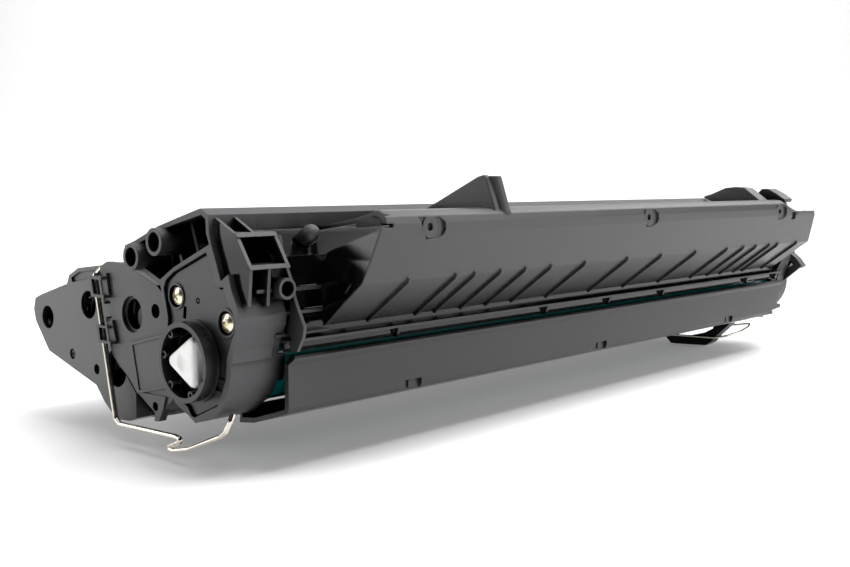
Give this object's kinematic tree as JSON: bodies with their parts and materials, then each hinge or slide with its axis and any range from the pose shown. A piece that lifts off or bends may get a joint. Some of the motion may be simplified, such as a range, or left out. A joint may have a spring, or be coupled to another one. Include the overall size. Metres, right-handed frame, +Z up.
{
  "type": "toner cartridge",
  "caption": "Long black toner cartridge with a ribbed paper guide, a drum behind a swinging shutter, a drive coupling in a ring and a rear toner hopper.",
  "frame": {"origin": "centre of the bounding box in plan, at its lowest point", "axes": "+X along the cartridge from the drive end to the far end, +Y from the paper guide to the toner hopper, +Z up as it lies on a table"},
  "size_m": [0.381, 0.1567, 0.0902],
  "materials": {
    "frame_plastic": "satin moulded",
    "end_plate_plastic": "satin moulded",
    "screw_steel": "bright plated",
    "screw_black": "black oxide",
    "drum_coat": "glossy coated",
    "gear_plastic_black": "satin",
    "coupling_white": "smooth moulded",
    "contact_brass": "bright",
    "pin_steel": "turned",
    "roller_rubber": "matte",
    "bearing_plastic": "satin",
    "spring_steel": "drawn wire",
    "bracket_steel": "zinc plated",
    "blade_rubber": "smooth",
    "film_sheet": "thin sheet",
    "guide_plastic": "satin moulded",
    "hopper_plastic": "satin moulded",
    "plug_plastic": "satin",
    "sleeve_aluminium": "blasted and coated",
    "gear_plastic_white": "moulded",
    "magnet_black": "bonded magnet",
    "cover_plastic": "satin moulded",
    "cover_plastic_dark": "satin moulded",
    "shutter_plastic": "satin moulded",
    "arm_plastic": "satin moulded",
    "wire_nickel": "polished nickel wire"
  },
  "bodies": {
    "cartridge": {"drum_frame": "frame_plastic", "left_end_plate": "end_plate_plastic", "right_end_plate": "end_plate_plastic", "end_plate_screws": "screw_steel", "pocket_screws": "screw_steel", "guide_screws": "screw_steel", "blade_screws": "screw_steel", "cover_screws": "screw_steel", "cover_screw_black": "screw_black", "drum_pin": "pin_steel", "charge_bearings": "bearing_plastic", "charge_springs": "spring_steel", "cleaning_blade_bracket": "bracket_steel", "cleaning_blade": "blade_rubber", "scoop_sheet": "film_sheet", "paper_guide": "guide_plastic", "toner_hopper": "hopper_plastic", "hopper_lid": "hopper_plastic", "fill_plug": "plug_plastic", "hinge_pins": "pin_steel", "magnet_core": "magnet_black", "doctor_blade_bracket": "bracket_steel", "doctor_blade": "blade_rubber", "gear_cover_left": "cover_plastic", "hopper_cover_left": "cover_plastic_dark", "hopper_cover_right": "cover_plastic_dark", "shutter_pivot_pin": "pin_steel", "shutter_spring": "spring_steel", "side_wire": "wire_nickel", "charge_contact": "contact_brass", "drum_contact_plate": "contact_brass"},
    "drum": {"drum_tube": "drum_coat", "drum_gear_flange": "gear_plastic_black", "drum_coupling": "coupling_white", "drum_end_flange": "gear_plastic_black", "drum_ground_plate": "contact_brass"},
    "charge_roller_body": {"charge_roller": "roller_rubber", "charge_shaft": "pin_steel"},
    "developer_roller_body": {"developer_sleeve": "sleeve_aluminium", "developer_gear": "gear_plastic_black", "developer_end_flange": "gear_plastic_black"},
    "idler": {"idler_gear": "gear_plastic_black"},
    "agitator": {"agitator_shaft": "gear_plastic_white", "agitator_film": "film_sheet", "agitator_gear": "gear_plastic_black"},
    "shutter": {"drum_shutter": "shutter_plastic", "shutter_arm": "arm_plastic", "foot_wire": "wire_nickel"}
  },
  "joints": [
    {"name": "drum_spin", "type": "hinge", "parent": "cartridge", "child": "drum", "pos_m": [0.00041, -0.0345, 0.035], "axis": [1, 0, 0], "continuous": true},
    {"name": "charge_roller_spin", "type": "hinge", "parent": "cartridge", "child": "charge_roller_body", "pos_m": [0.00041, -0.02934, 0.05569], "axis": [1, 0, 0], "continuous": true},
    {"name": "developer_spin", "type": "hinge", "parent": "cartridge", "child": "developer_roller_body", "pos_m": [0.00041, -0.01166, 0.03015], "axis": [1, 0, 0], "continuous": true},
    {"name": "idler_spin", "type": "hinge", "parent": "cartridge", "child": "idler", "pos_m": [-0.17409, 0.0043, 0.04356], "axis": [1, 0, 0], "continuous": true},
    {"name": "agitator_spin", "type": "hinge", "parent": "cartridge", "child": "agitator", "pos_m": [0.00041, 0.03136, 0.03859], "axis": [1, 0, 0], "continuous": true},
    {"name": "shutter_swing", "type": "hinge", "parent": "cartridge", "child": "shutter", "pos_m": [0.18191, 0.007, 0.029], "axis": [1, 0, 0], "range_deg": [0, 35], "stiffness_Nm_per_rad": 0.06, "springref_deg": -40.11, "deforming": ["shutter_spring"]}
  ],
  "couplings": [
    {"joint": "charge_roller_spin", "follows": "drum_spin", "ratio": -2.5},
    {"joint": "developer_spin", "follows": "drum_spin", "ratio": -1.8},
    {"joint": "idler_spin", "follows": "drum_spin", "ratio": 1.2},
    {"joint": "agitator_spin", "follows": "drum_spin", "ratio": -1}
  ]
}
